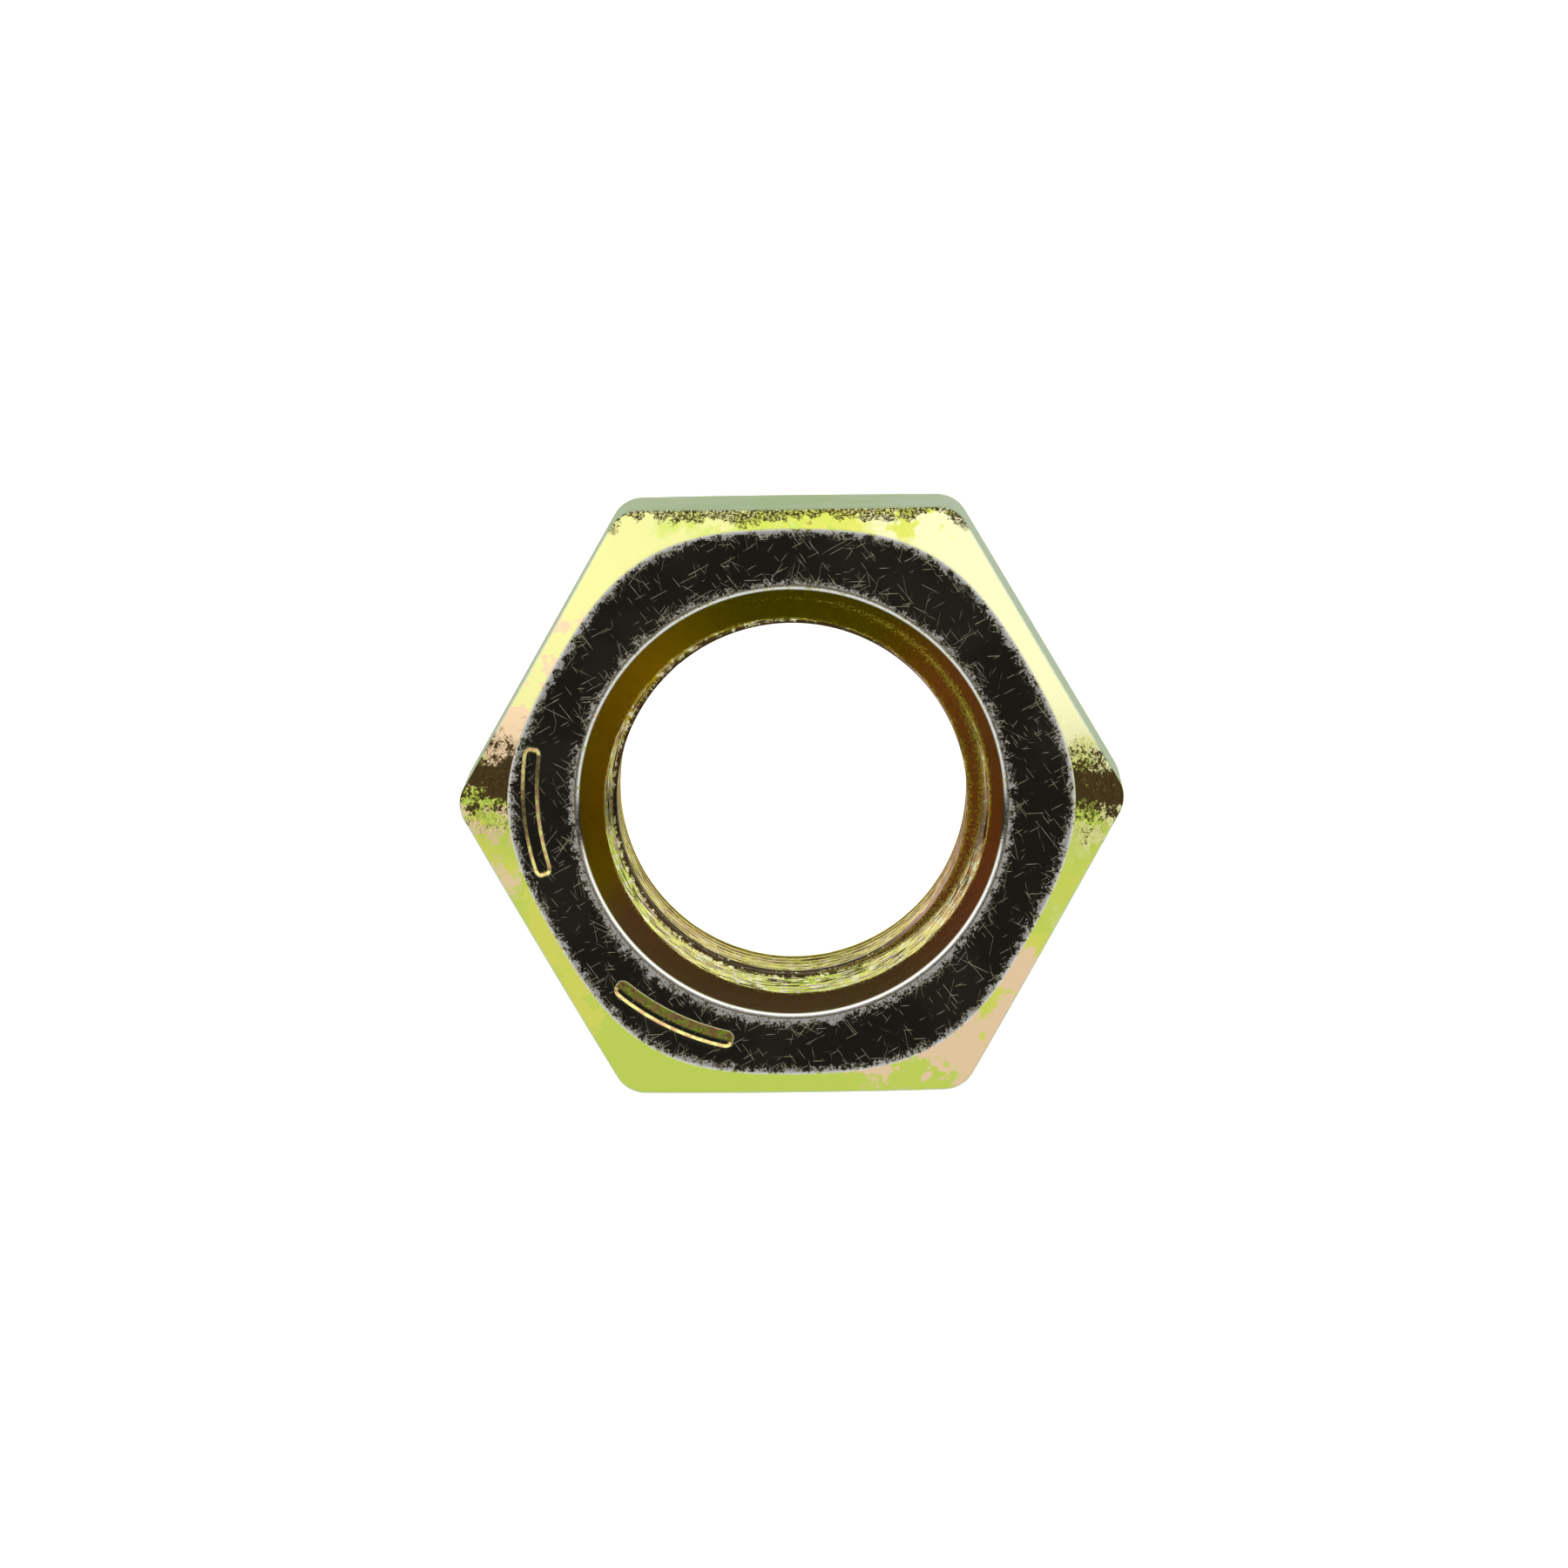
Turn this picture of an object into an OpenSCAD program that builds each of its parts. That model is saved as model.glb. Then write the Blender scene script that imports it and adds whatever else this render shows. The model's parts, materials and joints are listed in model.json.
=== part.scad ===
// Plain hex nut for a 1/2 inch bolt with 20 threads per inch: one forged, tapped and zinc plated piece of steel.
// Millimetres. The origin is on the thread axis in the plane of the lower bearing face, +Z runs up the axis,
// and one of the three pairs of flats faces +Y and -Y.

/* [Thread] */
// Nominal (major) diameter of the thread
thread_d = 12.7; // [12.6:0.05:12.9]
// Distance from one thread crest to the next
pitch = 1.27; // [1.2:0.01:1.3]
// Diameter of the hole at the thread crests
minor_d = 11.35; // [11.3:0.05:11.6]
// Diameter of each countersink where it meets the face
countersink_d = 13.7; // [13.3:0.1:13.9]
// Full angle of each countersink cone
countersink_angle = 82; // [70:1:100]

/* [Body] */
// Width across the flats
across_flats = 18.9; // [18.7:0.05:19.05]
// Distance between the two faces
height = 11.1; // [10.8:0.05:11.4]
// Width across the corners, which are turned back from the full hexagon
across_corners = 21.5; // [21.35:0.05:21.55]
// Diameter of the flat ring on each face, inside the chamfer
face_d = 17.7; // [17.4:0.1:17.9]
// Slope of the chamfer below the plane of the face, from its inner to its outer edge, in degrees
chamfer_angle = 30; // [22:1:32]

/* [Grade marks] */
// Length of each sunk dash along its curve, over its round ends
mark_length = 4.2; // [3:0.1:4.6]
// Width of each dash
mark_width = 0.48; // [0.3:0.02:0.6]
// Depth of each dash below the upper face
mark_depth = 0.25; // [0.1:0.05:0.4]
// Distance from the axis to the middle of the first dash
first_mark_r = 8.4; // [7.75:0.05:8.45]
// Distance from the axis to the middle of the second dash
second_mark_r = 8.05; // [7.75:0.05:8.45]
// Direction of the first dash from the axis, in degrees
first_mark_angle = 181; // [175:1:185]
// Angle between the two dashes
mark_spacing = 59; // [58:1:62]
// How far each dash is turned about its own middle, in degrees
mark_lean = 3; // [-3:1:3]

/* [Hidden] */

$fn = 96;
plated_gold = "darkkhaki";
overcut = 0.5;
groove_overcut = 0.15;

// Hexagon outline, face chamfer and countersink
sharp_corner_r = across_flats / 2 / cos(30);
corner_r = across_corners / 2;
face_r = face_d / 2;
chamfer_drop = (corner_r - face_r) * tan(chamfer_angle);
dome_depth = ((corner_r * corner_r - face_r * face_r) / chamfer_drop - chamfer_drop) / 2;
dome_r = sqrt(face_r * face_r + dome_depth * dome_depth);
minor_r = minor_d / 2;
countersink_r = countersink_d / 2;
countersink_depth = (countersink_r - minor_r) / tan(countersink_angle / 2);

// Thread grooves: 60 degree flanks, with a flat an eighth of the pitch wide at the major diameter
flank_slope = tan(30);
major_r = thread_d / 2;
groove_inner_r = minor_r - groove_overcut;
groove_root_half = pitch / 16;
groove_mouth_half = groove_root_half + (major_r - groove_inner_r) * flank_slope;
groove_count = floor(height / pitch);

// The turned envelope: it takes off the six sharp corners, and chamfers both faces.
// Each chamfer is a very shallow dome centred on the axis, dome_depth below its face, which keeps within
// 0.04 mm of a plain cone.
module chamfer_envelope() {
    intersection() {
        cylinder(h = height, r = corner_r);
        translate([0, 0, height - dome_depth])
            sphere(r = dome_r);
        translate([0, 0, dome_depth])
            sphere(r = dome_r);
    }
}

// One countersink cone, cut into the face at z = 0
module countersink() {
    overcut_r = countersink_r + overcut * tan(countersink_angle / 2);
    translate([0, 0, -overcut])
        cylinder(h = countersink_depth + overcut, r1 = overcut_r, r2 = minor_r);
}

// The thread's grooves at their true depth, shape and spacing, as rings shared out about the middle of the nut
module thread_grooves() {
    first_groove_z = (height - (groove_count - 1) * pitch) / 2;
    for (groove = [0 : groove_count - 1])
        translate([0, 0, first_groove_z + groove * pitch])
            rotate_extrude()
                polygon([
                    [groove_inner_r, -groove_mouth_half],
                    [major_r, -groove_root_half],
                    [major_r, groove_root_half],
                    [groove_inner_r, groove_mouth_half],
                ]);
}

// One sunk dash with round ends, curved about the axis and then turned a little about its own middle
module grade_mark(distance, direction) {
    span = (mark_length - mark_width) / distance * 180 / PI;
    rotate(direction)
        translate([distance, 0, height - mark_depth])
            rotate(mark_lean)
                translate([-distance, 0, 0]) {
                    rotate(-span / 2)
                        rotate_extrude(angle = span)
                            translate([distance - mark_width / 2, 0])
                                square([mark_width, mark_depth + overcut]);
                    for (end = [-1, 1])
                        rotate(end * span / 2)
                            translate([distance, 0, 0])
                                cylinder(h = mark_depth + overcut, r = mark_width / 2);
                }
}

module nut_body() {
    color(plated_gold)
        difference() {
            intersection() {
                cylinder(h = height, r = sharp_corner_r, $fn = 6);
                chamfer_envelope();
            }
            translate([0, 0, -overcut])
                cylinder(h = height + 2 * overcut, r = minor_r);
            countersink();
            translate([0, 0, height])
                mirror([0, 0, 1])
                    countersink();
            thread_grooves();
            grade_mark(first_mark_r, first_mark_angle);
            grade_mark(second_mark_r, first_mark_angle + mark_spacing);
        }
}

nut_body();
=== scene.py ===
"""Looks for a plain plated hex nut: a detailed mesh in place of the CAD solid, a pale stage and soft light.

The nut is one grid of points: columns go round the thread axis, and rows go out over the top face, down the
outside, in under the bottom face and back up the threaded hole.
"""
import json
import math

import bpy
import numpy as np
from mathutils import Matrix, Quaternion, Vector


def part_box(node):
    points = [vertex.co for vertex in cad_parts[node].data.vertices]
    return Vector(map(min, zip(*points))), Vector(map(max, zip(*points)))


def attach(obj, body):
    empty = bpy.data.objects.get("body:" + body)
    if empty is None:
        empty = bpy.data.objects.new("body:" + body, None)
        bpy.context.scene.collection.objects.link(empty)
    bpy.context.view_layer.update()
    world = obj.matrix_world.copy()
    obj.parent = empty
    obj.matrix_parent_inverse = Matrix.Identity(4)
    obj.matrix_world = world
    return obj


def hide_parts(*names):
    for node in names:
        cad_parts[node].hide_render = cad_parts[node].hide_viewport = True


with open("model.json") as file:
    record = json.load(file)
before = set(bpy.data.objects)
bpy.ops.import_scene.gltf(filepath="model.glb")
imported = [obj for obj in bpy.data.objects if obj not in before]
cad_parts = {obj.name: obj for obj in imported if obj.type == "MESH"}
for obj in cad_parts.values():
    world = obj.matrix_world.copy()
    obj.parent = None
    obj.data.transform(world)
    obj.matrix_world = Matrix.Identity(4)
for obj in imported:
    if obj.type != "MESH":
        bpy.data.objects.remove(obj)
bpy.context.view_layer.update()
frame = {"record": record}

# ---------------------------------------------------------------- sizes, in millimetres
MM = 0.001
NODE = "nut_body"
low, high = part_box(NODE)
HEIGHT = (high[2] - low[2]) / MM
FLAT_R = (high[1] - low[1]) / 2 / MM
CORNER_R = (high[0] - low[0]) / 2 / MM
THREAD = next(mount for mount in frame["record"]["mounts"] if mount["name"] == "thread")
MINOR_R = THREAD["dims"]["r_mm"]

MAJOR_R = 6.38
PITCH = 1.27
FLANK_SLOPE = math.tan(math.radians(30))
COUNTERSINK_R = 6.93
CONE_SLOPE = 1.15
GROOVE_START_ANGLE = math.radians(345)
GROOVE_START_DEPTH = (COUNTERSINK_R - MAJOR_R) * CONE_SLOPE + PITCH / 16

FACE_R_AT_FLATS = 8.78
FACE_R_AT_CORNERS = 9.12
CHAMFER_SLOPE = math.tan(math.radians(30))

MARK_LENGTH = 4.2
MARK_WIDTH = 0.48
MARK_DEPTH = 0.10
MARK_LEAN = math.radians(3)
MARK_WALL = 0.13
# Share of a dash's sloping wall that lies outside its edge
MARK_WALL_OUTSIDE = 0.4
# Each sunk dash: distance from the axis, and direction from the axis in degrees
MARKS = [(8.42, 181.7), (8.07, 240.5)]

# Depth in each countersink where the outside's rows of points end and the hole's rows start
CONE_START = 0.4
# Near each face the hole's rows are level, and between these two heights they climb with the thread
CLIMB_FROM = 1.75
CLIMB_TO = HEIGHT - 1.95
LEVEL_ROWS_BELOW = 20
LEVEL_ROWS_ABOVE = 54
# What the attributes hold where a dash or the thread is nowhere near
FAR = 9

# ---------------------------------------------------------------- camera
# It looks almost straight down at the marked face from a long way off
FRAME_WIDTH = 50.6
CAMERA_DISTANCE = 500
CAMERA_LEAN_Y = math.radians(3.6)
CAMERA_LEAN_X = math.radians(0.4)
CAMERA_ROLL = math.radians(-0.72)
NUT_OFFSET = (0.235, -0.585)
SENSOR = 36


def make_camera():
    """A long lens above the top face, leaning a little towards the top of the picture."""
    camera = bpy.data.cameras.new("camera")
    camera.sensor_width = SENSOR
    camera.lens = SENSOR * CAMERA_DISTANCE / FRAME_WIDTH
    camera.clip_start = 0.01
    camera.clip_end = 20
    rig = link("camera", camera)
    lean = Quaternion((0, 1, 0), CAMERA_LEAN_X) @ Quaternion((1, 0, 0), -CAMERA_LEAN_Y)
    aim = Vector((-NUT_OFFSET[0], -NUT_OFFSET[1], HEIGHT))
    rig.location = (aim + lean @ Vector((0, 0, CAMERA_DISTANCE))) * MM
    rig.rotation_mode = "QUATERNION"
    rig.rotation_quaternion = lean @ Quaternion((0, 0, 1), CAMERA_ROLL)
    bpy.context.scene.camera = rig


# ---------------------------------------------------------------- stage and light
def link(name, data):
    """Put a new object in the scene."""
    piece = bpy.data.objects.new(name, data)
    bpy.context.scene.collection.objects.link(piece)
    return piece


def make_floor():
    """A broad pale sheet under the nut, glowing a little like a light table."""
    half = 1.5
    mesh = bpy.data.meshes.new("floor")
    corners = [(-half, -half, 0), (half, -half, 0), (half, half, 0), (-half, half, 0)]
    mesh.from_pydata(corners, [], [(0, 1, 2, 3)])
    floor = link("floor", mesh)
    material = bpy.data.materials.new("pale_sheet")
    material.use_nodes = True
    shader = material.node_tree.nodes["Principled BSDF"]
    shader.inputs["Base Color"].default_value = (0.6, 0.6, 0.6, 1)
    shader.inputs["Roughness"].default_value = 0.9
    shader.inputs["Specular IOR Level"].default_value = 0.1
    shader.inputs["Emission Color"].default_value = (1, 1, 1, 1)
    shader.inputs["Emission Strength"].default_value = 1.15
    mesh.materials.append(material)


def make_world():
    """A wide soft light on each long side, dark overhead and dark at the two ends."""
    world = bpy.data.worlds.new("studio")
    bpy.context.scene.world = world
    world.use_nodes = True
    graph = Graph(world.node_tree)
    direction = graph.node("ShaderNodeTexCoord").outputs["Generated"]
    x, y, z = graph.split(direction)
    side = graph.math("DIVIDE", y, graph.length(x, y))
    by_height = graph.ramp(z, [
        (0.0, 0.42), (0.14, 0.6), (0.26, 1.0), (0.60, 1.0), (0.80, 0.12), (0.93, 0.02)])
    by_side = graph.ramp(graph.math("MULTIPLY_ADD", side, 0.5, 0.5), [
        (0.0, 0.76), (0.30, 0.78), (0.44, 0.70), (0.475, 0.04),
        (0.55, 0.04), (0.58, 0.9), (0.75, 1.15), (1.0, 1.1)])
    graph.put(world.node_tree.nodes["Background"].inputs["Color"], graph.math("MULTIPLY", by_height, by_side))


# ---------------------------------------------------------------- small helpers for node materials
class Graph:
    """Short names for the shader nodes used here. A plain number is set on the socket, a socket is linked."""

    def __init__(self, tree):
        self.tree = tree

    def node(self, kind, **settings):
        made = self.tree.nodes.new(kind)
        for name, value in settings.items():
            setattr(made, name, value)
        return made

    def put(self, socket, value):
        if isinstance(value, bpy.types.NodeSocket):
            self.tree.links.new(value, socket)
        else:
            socket.default_value = value

    def math(self, operation, *values):
        made = self.node("ShaderNodeMath", operation=operation)
        for socket, value in zip(made.inputs, values):
            self.put(socket, value)
        return made.outputs[0]

    def times(self, first, *others):
        """The product of two or more numbers."""
        for other in others:
            first = self.math("MULTIPLY", first, other)
        return first

    def add_part(self, base, value, factor):
        """base + value * factor"""
        return self.math("MULTIPLY_ADD", value, factor, base)

    def length(self, x, y):
        return self.math("SQRT", self.math("ADD", self.times(x, x), self.times(y, y)))

    def split(self, vector):
        made = self.node("ShaderNodeSeparateXYZ")
        self.put(made.inputs[0], vector)
        return made.outputs

    def combine(self, x, y, z):
        made = self.node("ShaderNodeCombineXYZ")
        for socket, value in zip(made.inputs, (x, y, z)):
            self.put(socket, value)
        return made.outputs[0]

    def scale(self, vector, factor):
        made = self.node("ShaderNodeVectorMath", operation="SCALE")
        self.put(made.inputs[0], vector)
        self.put(made.inputs["Scale"], factor)
        return made.outputs[0]

    def step(self, value, start, end):
        """0 before start and 1 after end, smoothly between; start may be the larger."""
        made = self.node("ShaderNodeMapRange", interpolation_type="SMOOTHSTEP")
        self.put(made.inputs["Value"], value)
        made.inputs["From Min"].default_value = start
        made.inputs["From Max"].default_value = end
        return made.outputs[0]

    def noise(self, vector, scale, detail=2.0, roughness=0.5):
        made = self.node("ShaderNodeTexNoise")
        self.put(made.inputs["Vector"], vector)
        made.inputs["Scale"].default_value = scale
        made.inputs["Detail"].default_value = detail
        made.inputs["Roughness"].default_value = roughness
        return made.outputs["Fac"]

    def ramp(self, value, stops):
        """A colour ramp; each stop is a place and a grey or a colour."""
        made = self.node("ShaderNodeValToRGB")
        self.put(made.inputs[0], value)
        elements = made.color_ramp.elements
        while len(elements) < len(stops):
            elements.new(0.5)
        for element, (place, colour) in zip(elements, stops):
            element.position = place
            element.color = (*colour, 1) if isinstance(colour, tuple) else (colour, colour, colour, 1)
        return made.outputs[0]

    def mix(self, factor, first, second):
        """Blend two colours; each is a socket or a tuple."""
        made = self.node("ShaderNodeMix", data_type="RGBA")
        self.put(made.inputs[0], factor)
        for socket, value in ((made.inputs[6], first), (made.inputs[7], second)):
            self.put(socket, (*value, 1) if isinstance(value, tuple) else value)
        return made.outputs[2]

    def blend(self, factor, first, second):
        """Blend two numbers."""
        made = self.node("ShaderNodeMix")
        for socket, value in ((made.inputs[0], factor), (made.inputs[2], first), (made.inputs[3], second)):
            self.put(socket, value)
        return made.outputs[0]

    def attribute(self, name):
        return self.node("ShaderNodeAttribute", attribute_name=name).outputs["Fac"]


# ---------------------------------------------------------------- the nut's outline
def hexagon_radius(angle):
    """Distance from the axis to the outline, with corners rounded to reach the CAD model's corner radius."""
    sharp = FLAT_R / math.cos(math.pi / 6)
    rounding = (sharp - CORNER_R) / (1 / math.cos(math.pi / 6) - 1)
    centre = (FLAT_R - rounding) / math.cos(math.pi / 6)
    from_corner = np.abs((angle + math.pi / 6) % (math.pi / 3) - math.pi / 6)
    tangent = math.atan2(rounding * 0.5, centre + rounding * math.cos(math.pi / 6))
    flat = FLAT_R / np.cos(math.pi / 6 - from_corner)
    inside = np.maximum(rounding**2 - (centre * np.sin(from_corner)) ** 2, 0)
    corner = centre * np.cos(from_corner) + np.sqrt(inside)
    return np.where(from_corner < tangent, corner, flat)


def face_radius(angle):
    """Outer edge of the flat ring, a little further out towards the corners."""
    middle = (FACE_R_AT_FLATS + FACE_R_AT_CORNERS) / 2
    swing = (FACE_R_AT_CORNERS - FACE_R_AT_FLATS) / 2
    return middle + swing * np.cos(6 * angle)


def cone_radius(depth):
    """Radius of the countersink at a depth below its face."""
    return COUNTERSINK_R - depth / CONE_SLOPE


def thread_radius(angle, z):
    """Radius of the tapped hole: a right-hand groove with 60 degree sides, cut out from the minor radius."""
    start = HEIGHT - GROOVE_START_DEPTH
    turns = (z - start) / PITCH - (angle - GROOVE_START_ANGLE) / (2 * math.pi)
    from_middle = np.abs((turns + 0.5) % 1 - 0.5) * PITCH
    flank = MAJOR_R - (from_middle - PITCH / 16) / FLANK_SLOPE
    return np.clip(flank, MINOR_R, MAJOR_R)


def hole_radius(angle, z):
    """Radius of everything that is cut away: both countersinks and the thread."""
    cones = np.maximum(cone_radius(HEIGHT - z), cone_radius(z))
    return np.maximum(cones, thread_radius(angle, z))


def mark_curve(mark):
    """Middle of the circle that a dash follows, the direction of the dash from it, and half its angle."""
    distance, direction = mark[0], math.radians(mark[1])
    leaning = direction + MARK_LEAN
    x = distance * (math.cos(direction) - math.cos(leaning))
    y = distance * (math.sin(direction) - math.sin(leaning))
    return x, y, leaning, (MARK_LENGTH - MARK_WIDTH) / 2 / distance


def mark_side(x, y, mark):
    """Distance outwards from the curved middle line of a dash."""
    centre_x, centre_y = mark_curve(mark)[:2]
    return np.hypot(x - centre_x, y - centre_y) - mark[0]


def mark_gap(x, y, mark):
    """Distance from a dash's edge, negative inside it."""
    centre_x, centre_y, leaning, half = mark_curve(mark)
    dx, dy = x - centre_x, y - centre_y
    turn = (np.arctan2(dy, dx) - leaning + math.pi) % (2 * math.pi) - math.pi
    beyond = turn - np.clip(turn, -half, half)
    radius = np.hypot(dx, dy)
    along = 2 * np.sin(np.abs(beyond) / 2) * np.sqrt(radius * mark[0])
    return np.hypot(radius - mark[0], along) - MARK_WIDTH / 2


# ---------------------------------------------------------------- the nut's grid
def column_angles():
    """Angles of the columns, twice as close together where the dashes lie."""
    coarse, fine, spread = math.radians(0.9), math.radians(0.45), math.radians(17)
    angles = [0.0]
    while angles[-1] < 2 * math.pi:
        near = any(abs(angles[-1] - math.radians(mark[1])) < spread for mark in MARKS)
        angles.append(angles[-1] + (fine if near else coarse))
    angles = np.array(angles)
    return angles[:-1] * 2 * math.pi / angles[-1]


def bevel(before, corner, after, size, steps):
    """Rows that turn a corner of the profile into a small round edge."""
    start = corner + (before - corner) * (size / np.linalg.norm(before - corner, axis=-1, keepdims=True))
    end = corner + (after - corner) * (size / np.linalg.norm(after - corner, axis=-1, keepdims=True))
    return [start * (1 - t) ** 2 + corner * 2 * t * (1 - t) + end * t**2 for t in np.linspace(0, 1, steps)]


def between(first, last, steps):
    """Rows evenly spaced between two rows, without the ends."""
    return [first + (last - first) * t for t in np.linspace(0, 1, steps + 2)[1:-1]]


def ring_rows(first, last, angles):
    """Rows across the top ring, gathered along both edges of each dash where there is one."""
    reach, fade = math.radians(18.5), math.radians(2.5)
    least_gap = 0.012
    rows_inside, rows_outside = 11, 4
    inner, outer = first[:, 0], last[:, 0]
    half = MARK_WIDTH / 2
    inner_side = np.array([-0.06, -0.01, 0.04, 0.08, 0.11]) - half
    near = np.concatenate([inner_side, -inner_side[::-1]])
    even = np.linspace(0.55, 0.9, len(near))
    knots = inner[:, None] + (outer - inner)[:, None] * even
    for mark in MARKS:
        away = np.abs(angles - math.radians(mark[1]))
        weight = np.clip((reach - away) / fade, 0, 1)
        weight = weight * weight * (3 - 2 * weight)
        along = mark[0] - np.tan(MARK_LEAN) * mark[0] * (angles - math.radians(mark[1]))
        wanted = np.minimum(along[:, None] + near, outer[:, None] - least_gap * np.arange(len(near), 0, -1))
        knots += (wanted - knots) * weight[:, None]
    inside = between(inner, knots[:, 0], rows_inside)
    outside = between(knots[:, -1], outer, rows_outside)
    every = inside + [knots[:, i] for i in range(len(near))] + outside
    return [np.stack([radius, first[:, 1]], axis=-1) for radius in every]


def outside_rows(angles):
    """Profile rows from the top countersink's rim, over the outside, to the bottom countersink's rim."""
    ones = np.ones_like(angles)
    outline = hexagon_radius(angles)
    face = face_radius(angles)
    drop = (outline - face) * CHAMFER_SLOPE

    def row(radius, z):
        return np.stack([radius * ones, z * ones], axis=-1)

    corners = [
        row(cone_radius(CONE_START), HEIGHT - CONE_START),
        row(COUNTERSINK_R, HEIGHT),
        row(face, HEIGHT),
        row(outline, HEIGHT - drop),
        row(outline, drop),
        row(face, 0),
        row(COUNTERSINK_R, 0),
        row(cone_radius(CONE_START), CONE_START),
    ]
    edge_sizes = [0.13, 0.06, 0.06, 0.06, 0.06, 0.13]
    edge_steps = [8, 5, 4, 4, 4, 6]
    fill_steps = [0, 6, 8, 5, 6]
    rows = []
    for index, (size, steps) in enumerate(zip(edge_sizes, edge_steps)):
        turned = bevel(corners[index], corners[index + 1], corners[index + 2], size, steps)
        if index == 1:
            rows += ring_rows(rows[-1], turned[0], angles)
        elif index:
            rows += between(rows[-1], turned[0], fill_steps[index - 1])
        rows += turned
    return rows


def thread_phases():
    """Places across one pitch, from the middle of the groove, where the thread's outline turns."""
    root = PITCH / 16
    mouth = root + (MAJOR_R - MINOR_R) * FLANK_SLOPE
    return [-mouth, -(mouth + root) / 2, -root, root, (mouth + root) / 2, mouth, PITCH / 2]


class Grid:
    """Points and faces of the nut as they are built up, ring by ring."""

    def __init__(self):
        self.angles = column_angles()
        self.points = []
        self.faces = []

    def ring(self, radius, z):
        """One closed ring of points, as their indices."""
        start = len(self.points)
        x, y = radius * np.cos(self.angles), radius * np.sin(self.angles)
        self.points += list(zip(x, y, z))
        return list(range(start, start + len(self.angles)))

    def hole_ring(self, height):
        """One level ring in the hole."""
        z = np.full(len(self.angles), height)
        return self.ring(hole_radius(self.angles, z), z)

    def face(self, *corners):
        """One face, left out where a row has closed up to nothing."""
        distinct = [corner for i, corner in enumerate(corners) if corner != corners[i - 1]]
        if len(distinct) > 2:
            self.faces.append(tuple(distinct))

    def join(self, upper, lower):
        """Faces between two rings, facing away from the metal."""
        for j in range(len(self.angles)):
            k = (j + 1) % len(self.angles)
            self.face(upper[j], lower[j], lower[k], upper[k])


def add_outside(grid):
    """Top face, outside and bottom face; returns the first and last rings."""
    rings = []
    for row in outside_rows(grid.angles):
        radius, z = row[:, 0], row[:, 1].copy()
        x, y = radius * np.cos(grid.angles), radius * np.sin(grid.angles)
        for mark in MARKS:
            sunk = np.clip(MARK_WALL_OUTSIDE - mark_gap(x, y, mark) / MARK_WALL, 0, 1)
            on_top = z > HEIGHT / 2
            z -= np.where(on_top, MARK_DEPTH * sunk * sunk * (3 - 2 * sunk), 0)
        rings.append(grid.ring(radius, z))
    for upper, lower in zip(rings, rings[1:]):
        grid.join(upper, lower)
    return rings[0], rings[-1]


def add_hole(grid, top_ring, bottom_ring):
    """The hole, from the bottom rim up: level rings near each face, and climbing rows between them."""
    top_z, bottom_z = grid.points[top_ring[0]][2], grid.points[bottom_ring[0]][2]
    ring = bottom_ring
    for height in np.linspace(bottom_z, CLIMB_FROM, LEVEL_ROWS_BELOW)[1:]:
        upper = grid.hole_ring(height)
        grid.join(ring, upper)
        ring = upper
    first_high = grid.hole_ring(CLIMB_TO)
    add_climbing_rows(grid, ring, first_high)
    ring = first_high
    for height in np.linspace(CLIMB_TO, top_z, LEVEL_ROWS_ABOVE)[1:-1]:
        upper = grid.hole_ring(height)
        grid.join(ring, upper)
        ring = upper
    grid.join(ring, top_ring)


def add_climbing_rows(grid, low_ring, high_ring):
    """Rows that follow the helix, held at the level rings below and above them."""
    phases = thread_phases()
    start = HEIGHT - GROOVE_START_DEPTH
    clearance = 0.01
    first_turn = math.floor((CLIMB_FROM - start) / PITCH) - 2
    last_turn = math.ceil((CLIMB_TO - start) / PITCH) + 2
    climb = PITCH * (grid.angles - GROOVE_START_ANGLE) / (2 * math.pi)
    rows = []
    for turn in range(first_turn, last_turn + 1):
        for phase in phases:
            z = start + turn * PITCH + phase + climb
            radius = thread_radius(grid.angles, z)
            row = []
            for j, angle in enumerate(grid.angles):
                if z[j] <= CLIMB_FROM + clearance:
                    row.append(low_ring[j])
                elif z[j] >= CLIMB_TO - clearance:
                    row.append(high_ring[j])
                else:
                    row.append(len(grid.points))
                    grid.points.append((radius[j] * math.cos(angle), radius[j] * math.sin(angle), z[j]))
            rows.append(row)
    for lower, upper in zip(rows, rows[1:]):
        for j in range(len(grid.angles) - 1):
            grid.face(lower[j], upper[j], upper[j + 1], lower[j + 1])
    turn_on = len(phases)
    for m in range(len(rows) - 1 - turn_on):
        grid.face(rows[m][-1], rows[m + 1][-1], rows[m + 1 + turn_on][0], rows[m + turn_on][0])


def add_attributes(mesh, points):
    """Distances in millimetres that the material reads to know which part of the nut it is on."""
    x, y, z = np.array(points).T
    angle, radius = np.arctan2(y, x), np.hypot(x, y)
    from_face = np.minimum(z, HEIGHT - z)
    first, second = (mark_gap(x, y, mark) for mark in MARKS)
    side = np.where(first < second, mark_side(x, y, MARKS[0]), mark_side(x, y, MARKS[1]))
    inside = radius < COUNTERSINK_R
    thread = thread_radius(angle, z) - cone_radius(from_face)
    values = {
        "rim_gap": radius - COUNTERSINK_R,
        "edge_gap": face_radius(angle) - radius,
        "outline_gap": hexagon_radius(angle) - radius,
        "mark_gap": np.where((z > HEIGHT / 2) & ~inside, np.minimum(first, second), FAR),
        "mark_side": side,
        "thread_gap": np.where(inside, thread, FAR),
    }
    for name, value in values.items():
        layer = mesh.attributes.new(name, "FLOAT", "POINT")
        layer.data.foreach_set("value", value.astype(np.float32))


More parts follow.
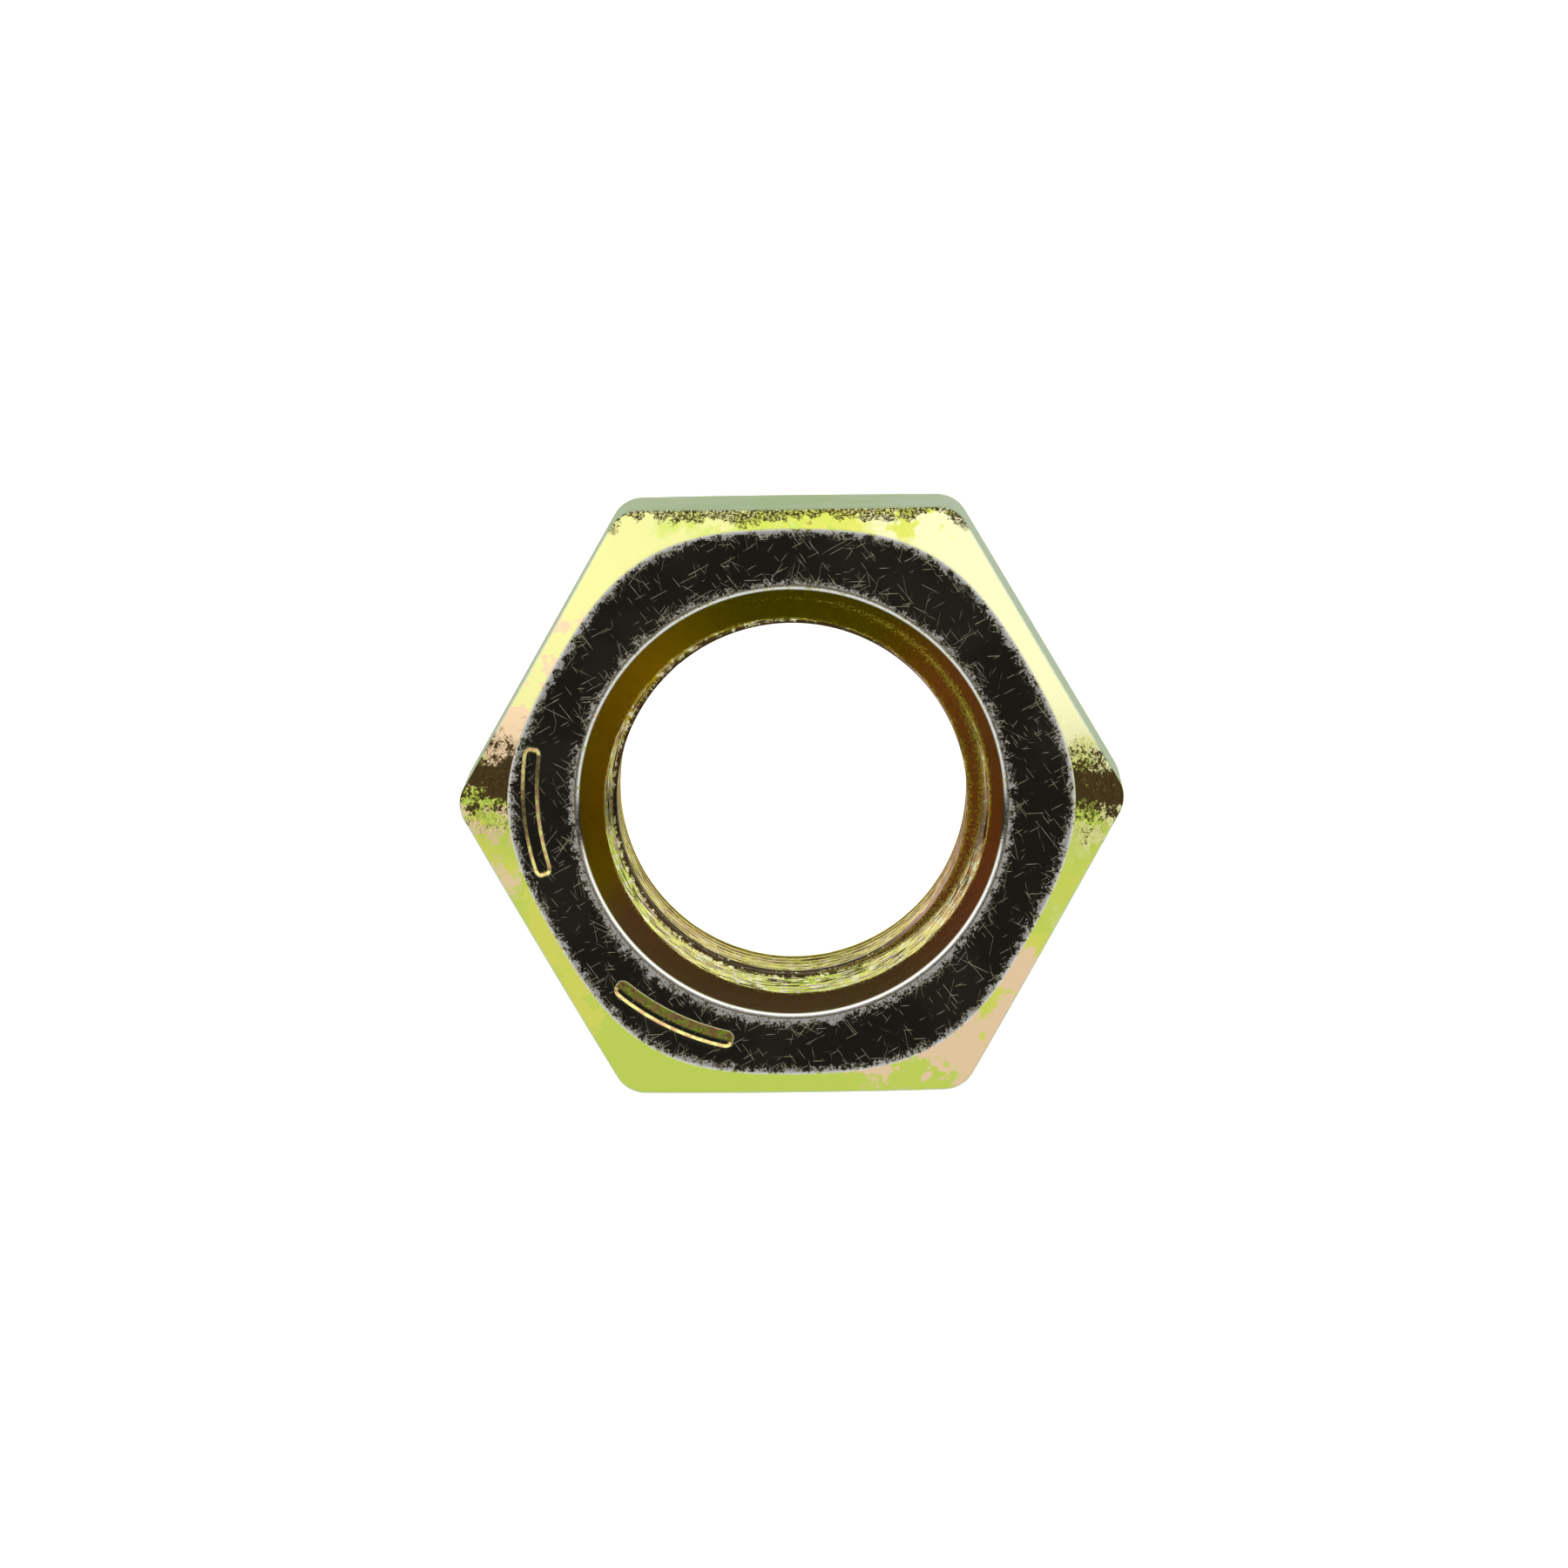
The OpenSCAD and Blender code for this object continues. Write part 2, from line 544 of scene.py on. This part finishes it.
def build_nut():
    """The whole nut as one closed mesh."""
    grid = Grid()
    top_ring, bottom_ring = add_outside(grid)
    add_hole(grid, top_ring, bottom_ring)
    mesh = bpy.data.meshes.new("nut")
    mesh.from_pydata([Vector(point) * MM for point in grid.points], [], grid.faces)
    add_attributes(mesh, grid.points)
    mesh.shade_smooth()
    mesh.set_sharp_from_angle(angle=math.radians(32))
    return mesh


# ---------------------------------------------------------------- the plated surface
LIME = (0.67, 0.82, 0.13)
YELLOW = (0.82, 0.84, 0.15)
PALE_YELLOW = (0.92, 0.91, 0.37)
CREAM = (0.98, 0.97, 0.55)
PEACH = (1.0, 0.74, 0.46)
OLIVE = (0.44, 0.38, 0.006)
DARK_OLIVE = (0.27, 0.23, 0.0)
AMBER = (0.56, 0.40, 0.01)
BROWN = (0.32, 0.21, 0.09)
RUST = (0.56, 0.21, 0.10)
GOLD = (0.97, 0.90, 0.30)
PINK = (0.62, 0.38, 0.36)
COPPER = (0.80, 0.52, 0.24)
UMBER = (0.085, 0.055, 0.02)
# Dark grey-green mixed into the six sides as painted shade, for the shadowed floor they reflect
SIDE_SHADE_GREEN = (0.36, 0.40, 0.36)
GREEN_GREY = (0.62, 0.71, 0.57)
ZINC_AND_RIM_HIGHLIGHT = (0.95, 0.95, 0.91)
DARK_METAL = (0.66, 0.61, 0.42)
EDGE_TINT = (0.23, 0.33, 0.29)
SIDE_SHADE_SHARE = 0.65

# Each set of scratches: direction in radians, lines across and along a millimetre, and how rare they are
SCRATCH_SETS = [
    (0.20, 56, 0.55, 0.735), (0.65, 64, 0.80, 0.730), (1.10, 52, 0.45, 0.740), (1.60, 60, 0.70, 0.735),
    (2.05, 66, 0.90, 0.730), (2.50, 54, 0.60, 0.740), (2.90, 62, 0.50, 0.735),
]

# Colours around the nut: direction from the axis in degrees, and colour
CHAMFER_COLOURS = [
    (-180, LIME), (-166, PEACH), (-162, LIME), (-150, YELLOW), (-135, YELLOW), (-128, LIME), (-72, LIME),
    (-66, PEACH), (-38, PEACH), (-33, YELLOW), (-8, LIME), (8, PALE_YELLOW), (25, CREAM), (72, CREAM),
    (84, YELLOW), (100, LIME), (112, PALE_YELLOW), (150, PALE_YELLOW), (156, PEACH), (172, PEACH),
    (178, LIME),
]
# Countersinks: olive, brown and rust, darkened as painted shade for the dim hole they reflect
CONE_COLOURS_AND_SHADE = [
    (-180, OLIVE), (-160, OLIVE), (-145, BROWN), (-60, BROWN), (-25, RUST), (35, RUST), (62, DARK_OLIVE),
    (100, DARK_OLIVE), (135, AMBER), (160, OLIVE),
]
# Thread: the olive and amber towards +Y are partly painted shade, where the threads catch less light
THREAD_COLOURS_AND_SHADE = [
    (-180, GOLD), (-160, LIME), (-125, GOLD), (-85, LIME), (-50, GOLD), (-25, COPPER), (35, COPPER),
    (60, AMBER), (110, OLIVE), (150, AMBER), (172, GOLD),
]


def turn_of(degrees):
    """A direction as the fraction of a turn used by the colour ramps, which start at -180 degrees."""
    return (degrees + 180) / 360


def around(graph, angle, colours):
    """A colour that changes around the nut; each entry is a direction in degrees and a colour."""
    stops = [(turn_of(degrees), colour) for degrees, colour in colours]
    return graph.ramp(graph.math("MULTIPLY_ADD", angle, 1 / (2 * math.pi), 0.5), stops)


class Places:
    """What every part of the material reads: place, distances and noises. Lengths are in millimetres."""

    def __init__(self, graph):
        self.point = graph.scale(graph.node("ShaderNodeTexCoord").outputs["Object"], 1 / MM)
        self.x, self.y, self.z = graph.split(self.point)
        self.angle = graph.math("ARCTAN2", self.y, self.x)
        self.radius = graph.length(self.x, self.y)
        self.rim_gap, self.edge_gap = graph.attribute("rim_gap"), graph.attribute("edge_gap")
        self.outline_gap, self.thread_gap = graph.attribute("outline_gap"), graph.attribute("thread_gap")
        self.mark_gap, self.mark_side = graph.attribute("mark_gap"), graph.attribute("mark_side")

        self.cloud = graph.noise(self.point, 0.4, 3.0)
        self.fleck = graph.noise(self.point, 4.0, 5.0, 0.65)
        self.grain = graph.noise(self.point, 13.0, 4.0, 0.7)
        self.centred_fleck = graph.math("SUBTRACT", self.fleck, 0.5)
        self.centred_grain = graph.math("SUBTRACT", self.grain, 0.5)
        self.speckle = graph.math("ADD", self.centred_grain, self.centred_fleck)

        # Masks that are 1 on the flat ring, on the six sides and in the hole
        self.ring = graph.times(graph.step(self.edge_gap, -0.02, 0.02), graph.step(self.rim_gap, -0.03, 0.02))
        self.side = graph.step(self.outline_gap, 0.03, 0.01)
        self.inside = graph.step(self.rim_gap, -0.06, -0.10)


def chamfer_colour(graph, at):
    """Colours drifting around the chamfers, in patches with ragged edges."""
    patch_shift = 0.22
    wandering = graph.add_part(at.angle, graph.math("SUBTRACT", at.cloud, 0.5), 1.3)
    wandering = graph.add_part(wandering, at.centred_fleck, 0.4)
    patchy = graph.add_part(graph.noise(at.point, 0.9, 2.0), at.centred_fleck, 0.35)
    return graph.mix(
        graph.step(patchy, 0.52, 0.55),
        around(graph, wandering, CHAMFER_COLOURS),
        around(graph, graph.math("ADD", wandering, patch_shift), CHAMFER_COLOURS))


def zinc_edges_and_rim_highlight(graph, at):
    """Plating rubbed back to zinc along both edges of the flat ring, most of all at its rim towards -Y, where
    the whitish band is partly a painted highlight of the rounded rim.
    """
    # Wider towards -Y, where the rim's rounded edge faces the light: painted highlight
    width = graph.math("MULTIPLY_ADD", graph.step(at.y, 4.0, -5.0), 0.11, 0.09)
    from_rim = graph.math("SUBTRACT", graph.math("ADD", at.speckle, at.rim_gap), width)
    from_edge = graph.math("ADD", at.speckle, at.edge_gap)
    wear_and_rim_highlight = graph.math("MAXIMUM", graph.step(from_rim, 0.05, -0.05), graph.step(from_edge, 0.11, 0.0))
    on_ring = graph.times(graph.step(at.edge_gap, -0.06, -0.02), graph.step(at.rim_gap, -0.09, -0.06))
    return graph.times(wear_and_rim_highlight, on_ring, graph.step(at.mark_gap, 0.0, 0.10))


def scratches(graph, at):
    """Hairline scratches across the flat ring in several directions, crowded near its two edges."""
    crowding = graph.math("MAXIMUM", graph.step(at.rim_gap, 1.0, 0.1), graph.step(at.edge_gap, 0.6, 0.0))
    total = 0.0
    for turn, width, length, limit in SCRATCH_SETS:
        across = graph.add_part(graph.times(at.y, math.sin(turn)), at.x, math.cos(turn))
        along = graph.add_part(graph.times(at.x, -math.sin(turn)), at.y, math.cos(turn))
        stretched = graph.combine(graph.times(across, width), graph.times(along, length), turn * 10)
        line = graph.add_part(graph.noise(stretched, 1.0, 1.0), crowding, 0.045)
        total = graph.math("MAXIMUM", total, graph.step(line, limit, limit + 0.13))
    return graph.times(total, at.ring)


def dark_patches(graph, at):
    """Two masks on the chamfers: rough mottling, and the dark colour in it, painted shade at the corners with
    dark specks along the edge.

    Both lie at the two corners that catch little light, and along the edge towards +Y.
    """
    blotch = graph.math("SUBTRACT", graph.noise(at.point, 1.6, 5.0, 0.7), 0.5)
    off_axis = graph.add_part(graph.math("SUBTRACT", graph.math("SINE", at.angle), 0.065), at.x, 0.003)
    from_end = graph.math("ABSOLUTE", graph.add_part(off_axis, blotch, 0.4))
    along_middle = graph.step(graph.math("ABSOLUTE", at.x), 6.0, 4.0)
    ragged_edge = graph.add_part(graph.add_part(at.outline_gap, along_middle, -0.16), blotch, 1.9)
    line = graph.step(at.outline_gap, 0.07, 0.04)
    top_edge = graph.math("MAXIMUM", graph.step(ragged_edge, 0.16, 0.10), line)
    top_edge = graph.times(top_edge, graph.step(at.y, 8.6, 9.0))

    on_chamfer = graph.times(graph.step(at.edge_gap, -0.02, -0.08), graph.math("SUBTRACT", 1.0, at.side))
    mottled = graph.math("MAXIMUM", graph.step(from_end, 0.16, 0.10), top_edge)
    frayed = graph.add_part(from_end, at.speckle, 0.3)
    specks = graph.times(top_edge, graph.step(at.grain, 0.58, 0.46))
    # Painted shade at the two dim corners, and dark specks along the +Y edge
    shade_and_specks = graph.math("MAXIMUM", graph.step(frayed, 0.12, 0.07), specks)
    return graph.times(mottled, on_chamfer), graph.times(shade_and_specks, on_chamfer)


def tool_marks(graph, at):
    """Fine lines left by the tap and the countersink, running round the hole."""
    around_hole = graph.combine(graph.times(at.angle, 1.1), graph.times(at.radius, 22), graph.times(at.z, 22))
    return graph.noise(around_hole, 1.0, 2.0, 0.6)


def thread_colour_and_shade(graph, at, tool_lines):
    """Bright flanks with dark and pink lines, olive and amber towards +Y that are partly painted shade, a
    dark lip on the first turn that is a painted dark reflection with a pink sheen, and olive towards the far
    end that is painted shade deep in the hole.
    """
    broken = graph.add_part(tool_lines, at.centred_grain, 0.22)
    colour = around(graph, at.angle, THREAD_COLOURS_AND_SHADE)
    colour = graph.mix(graph.step(at.fleck, 0.50, 0.58), colour, CREAM)
    colour = graph.mix(graph.step(broken, 0.58, 0.62), colour, PINK)
    colour = graph.mix(graph.step(broken, 0.43, 0.39), colour, UMBER)

    crest = graph.step(graph.add_part(at.radius, at.centred_grain, 0.12), MINOR_R + 0.05, MINOR_R + 0.02)
    colour = graph.mix(graph.times(crest, 0.3), colour, COPPER)
    # Crest of the first turn: painted dark reflection, umber towards -X with a pink sheen towards +X
    lip = graph.step(graph.add_part(at.radius, at.speckle, 0.45), MINOR_R + 0.14, MINOR_R + 0.09)
    first_turn = graph.step(at.z, HEIGHT - 3.4, HEIGHT - 2.8)
    lip_reflection_colour = graph.mix(graph.step(at.x, 2.5, 5.0), UMBER, PINK)
    colour = graph.mix(graph.times(lip, first_turn), colour, lip_reflection_colour)
    # Olive deep in the hole, towards the bottom face: painted shade
    return graph.mix(graph.step(at.z, 4.0, 0.5), colour, OLIVE)


def cone_colour_and_shade(graph, at):
    """The countersinks, in colours darkened as painted shade, with gold flecks where they meet the thread."""
    flecks = graph.step(graph.add_part(at.thread_gap, at.centred_grain, 1.2), -0.16, -0.02)
    return graph.mix(flecks, around(graph, at.angle, CONE_COLOURS_AND_SHADE), GOLD)


def dash_colour(graph, at, rough_floor):
    """The sunk dashes: bright along their walls, with a dark floor or a mottled rough one."""
    wall = graph.mix(graph.step(at.fleck, 0.46, 0.54), COPPER, GOLD)
    mottle = graph.mix(graph.step(at.fleck, 0.47, 0.53), LIME, COPPER)
    colour = graph.mix(graph.step(at.mark_gap, -0.07, -0.10), wall, DARK_METAL)
    colour = graph.mix(rough_floor, colour, mottle)
    return graph.mix(graph.times(rough_floor, graph.step(at.grain, 0.44, 0.38)), colour, UMBER)


def plated_steel():
    """Yellow passivated zinc: lime, gold and pink on the chamfers, near black on the scratched flat ring."""
    material = bpy.data.materials.new("plated_steel")
    material.use_nodes = True
    graph = Graph(material.node_tree)
    shader = material.node_tree.nodes["Principled BSDF"]
    at = Places(graph)

    wear_and_rim_highlight = zinc_edges_and_rim_highlight(graph, at)
    mottled, shade_and_specks = dark_patches(graph, at)
    tool_lines = tool_marks(graph, at)
    threaded = graph.times(graph.step(at.thread_gap, -0.01, 0.02), at.inside)
    dash = graph.step(at.mark_gap, 0.06, 0.02)
    # The dash towards -Y is rough along the inner half of its floor
    rough_floor = graph.times(graph.step(at.mark_side, 0.06, 0.02), graph.step(at.y, -3.0, -4.0), dash)
    rubbed_edge = graph.step(graph.add_part(at.outline_gap, at.centred_grain, 0.10), 0.07, 0.03)

    outer = chamfer_colour(graph, at)
    thread = thread_colour_and_shade(graph, at, tool_lines)
    colour = graph.mix(at.ring, outer, DARK_METAL)
    colour = graph.mix(rubbed_edge, colour, GREEN_GREY)
    # The six sides: chamfer colours darkened with grey-green, partly painted shade for the shadowed floor
    # they reflect
    colour = graph.mix(at.side, colour, graph.mix(SIDE_SHADE_SHARE, outer, SIDE_SHADE_GREEN))
    # Umber as painted shade at the chamfers' two dim corners, and dark specks along the +Y edge
    colour = graph.mix(shade_and_specks, colour, UMBER)
    colour = graph.mix(at.inside, colour, graph.mix(threaded, cone_colour_and_shade(graph, at), thread))
    colour = graph.mix(dash, colour, dash_colour(graph, at, rough_floor))
    # Whitish rubbed zinc on the ring's edges, and a painted highlight along its rim
    colour = graph.mix(wear_and_rim_highlight, colour, ZINC_AND_RIM_HIGHLIGHT)
    graph.put(shader.inputs["Base Color"], colour)
    shader.inputs["Metallic"].default_value = 1
    graph.put(shader.inputs["Specular Tint"], graph.mix(threaded, EDGE_TINT, thread))

    roughness = graph.blend(at.ring, 0.22, graph.blend(graph.step(at.cloud, 0.4, 0.6), 0.13, 0.20))
    roughness = graph.blend(wear_and_rim_highlight, roughness, graph.step(at.rim_gap, 0.0, 0.3))
    roughness = graph.blend(at.side, graph.math("MINIMUM", roughness, 0.28), 0.42)
    graph.put(shader.inputs["Roughness"], roughness)

    # Relief in millimetres: each line adds a noise, where it shows, and how high it stands
    off_rim = graph.times(wear_and_rim_highlight, graph.step(at.rim_gap, 0.04, 0.12))
    height = graph.times(at.grain, graph.blend(at.side, 0.002, 0.0))
    height = graph.add_part(height, graph.times(tool_lines, threaded), 0.015)
    height = graph.add_part(height, graph.times(tool_lines, at.inside), 0.002)
    height = graph.add_part(height, graph.times(at.grain, off_rim), 0.24)
    height = graph.add_part(height, graph.times(at.fleck, mottled), 0.12)
    height = graph.add_part(height, graph.times(at.grain, rough_floor), 0.13)
    height = graph.add_part(height, scratches(graph, at), -0.0045)
    bump = graph.node("ShaderNodeBump")
    bump.inputs["Strength"].default_value = 1
    bump.inputs["Distance"].default_value = MM
    graph.put(bump.inputs["Height"], height)
    graph.put(shader.inputs["Normal"], bump.outputs[0])
    return material


# ---------------------------------------------------------------- the scene
make_camera()
make_floor()
make_world()

nut = link("nut", build_nut())
nut.data.materials.append(plated_steel())
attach(nut, "root")
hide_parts(NODE)

bpy.context.scene.view_settings.view_transform = "Standard"
